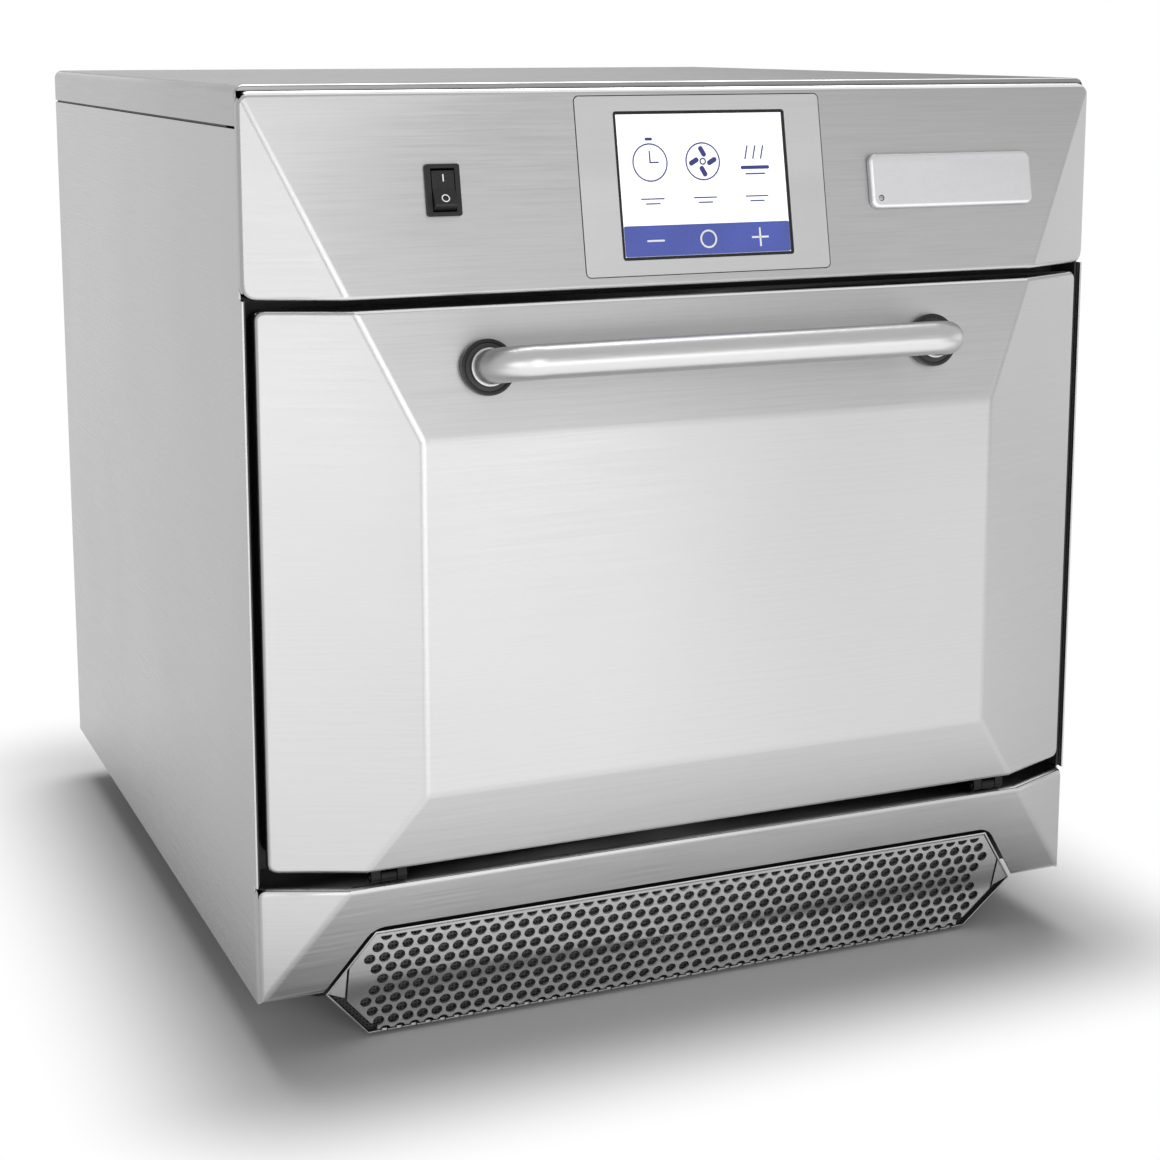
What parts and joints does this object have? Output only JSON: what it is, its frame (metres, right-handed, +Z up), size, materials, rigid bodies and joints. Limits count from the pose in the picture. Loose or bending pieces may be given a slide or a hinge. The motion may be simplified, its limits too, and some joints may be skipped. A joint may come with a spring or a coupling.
{
  "type": "speed oven",
  "caption": "Countertop high-speed oven with a drop-down faceted steel door, bar handle, touch screen fascia and pull-out lower air filter.",
  "frame": {"origin": "middle of the footprint, on the surface that the feet stand on", "axes": "+Z up, -Y out of the door, +X to the right of someone who faces the door"},
  "size_m": [0.584, 0.6996, 0.596],
  "materials": {
    "brushed_steel": "horizontal brushed grain",
    "bezel_steel": "fine satin",
    "bright_steel": "bright",
    "polished_steel": "satin polished tube",
    "cavity_steel": "matt rolled steel",
    "zinc_steel": "zinc plated",
    "black_paint": "satin black",
    "black_plastic": "moulded",
    "black_gloss": "smooth",
    "black_rubber": "moulded",
    "black_mesh": "woven wire, black",
    "mineral_wool": "fibre board",
    "ceramic_plate": "unglazed",
    "circuit_board": "solder mask",
    "copper_coil": "varnished windings",
    "screen_glass": "lit touch panel",
    "silver_plate": "satin silver, bare",
    "grey_silicone": "smooth seal"
  },
  "bodies": {
    "case": {"base_pan": "zinc_steel", "left_side_panel": "brushed_steel", "right_side_panel": "brushed_steel", "rear_panel": "brushed_steel", "top_cover": "brushed_steel", "control_fascia": "brushed_steel", "lower_fascia": "brushed_steel", "front_frame": "black_paint", "cable_gland": "black_plastic", "foot_front_left": "black_rubber", "foot_front_right": "black_rubber", "foot_rear_left": "black_rubber", "foot_rear_right": "black_rubber", "cavity_liner": "cavity_steel", "cavity_insulation": "mineral_wool", "jet_plate": "cavity_steel", "return_grille": "cavity_steel", "cook_plate": "ceramic_plate", "rack_rail_left": "cavity_steel", "rack_rail_right": "cavity_steel", "fan_plenum": "zinc_steel", "fan_motor": "zinc_steel", "heater_element": "cavity_steel", "catalyst": "ceramic_plate", "waveguide": "zinc_steel", "stirrer_motor": "zinc_steel", "magnetron": "bright_steel", "transformer": "copper_coil", "capacitor": "zinc_steel", "cooling_fan_frame": "black_plastic", "control_board": "circuit_board", "display_bezel": "bezel_steel", "touch_screen": "screen_glass", "display_module": "black_plastic", "switch_bezel": "black_plastic", "port_cover_screw": "bright_steel", "data_socket": "zinc_steel", "hinge_bracket_left": "zinc_steel", "hinge_pin_left": "bright_steel", "hinge_bracket_right": "zinc_steel", "hinge_pin_right": "bright_steel"},
    "door": {"door_skin": "brushed_steel", "door_choke_frame": "black_plastic", "door_insulation": "mineral_wool", "door_inner_panel": "cavity_steel", "door_seal": "grey_silicone", "hinge_leaf_left": "zinc_steel", "hinge_leaf_right": "zinc_steel", "handle_boss_left": "black_gloss", "handle_boss_right": "black_gloss", "handle_tube": "polished_steel"},
    "filter": {"filter_frame": "brushed_steel", "filter_grille": "brushed_steel", "filter_mesh": "black_mesh"},
    "rack": {"wire_rack": "bright_steel"},
    "rocker": {"power_rocker": "black_gloss"},
    "cover": {"port_cover": "silver_plate"},
    "hot_air_rotor": {"convection_fan": "cavity_steel"},
    "stirrer": {"mode_stirrer": "bright_steel"},
    "cooling_rotor": {"cooling_fan": "black_plastic"}
  },
  "joints": [
    {"name": "door_hinge", "type": "hinge", "parent": "case", "child": "door", "pos_m": [0, -0.29013, 0.1182], "axis": [1, 0, 0], "range_deg": [0, 90]},
    {"name": "filter_slide", "type": "slide", "parent": "case", "child": "filter", "axis": [0, -1, 0], "range_m": [0, 0.04]},
    {"name": "rack_slide", "type": "slide", "parent": "case", "child": "rack", "axis": [0, -1, 0], "range_m": [0, 0.026]},
    {"name": "rocker_tilt", "type": "hinge", "parent": "case", "child": "rocker", "pos_m": [-0.1722, -0.28077, 0.53325], "axis": [1, 0, 0], "range_deg": [0, 20]},
    {"name": "cover_swing", "type": "hinge", "parent": "case", "child": "cover", "pos_m": [0.1227, -0.28766, 0.52105], "axis": [0, -0.9811, 0.1936], "range_deg": [0, 45]},
    {"name": "convection_fan_spin", "type": "hinge", "parent": "case", "child": "hot_air_rotor", "pos_m": [0, 0.12717, 0.285], "axis": [0, 1, 0], "continuous": true},
    {"name": "stirrer_spin", "type": "hinge", "parent": "case", "child": "stirrer", "pos_m": [0, -0.08203, 0.1485], "axis": [0, 0, 1], "continuous": true},
    {"name": "cooling_fan_spin", "type": "hinge", "parent": "case", "child": "cooling_rotor", "pos_m": [0.15, 0.30107, 0.1267], "axis": [0, 1, 0], "continuous": true}
  ]
}
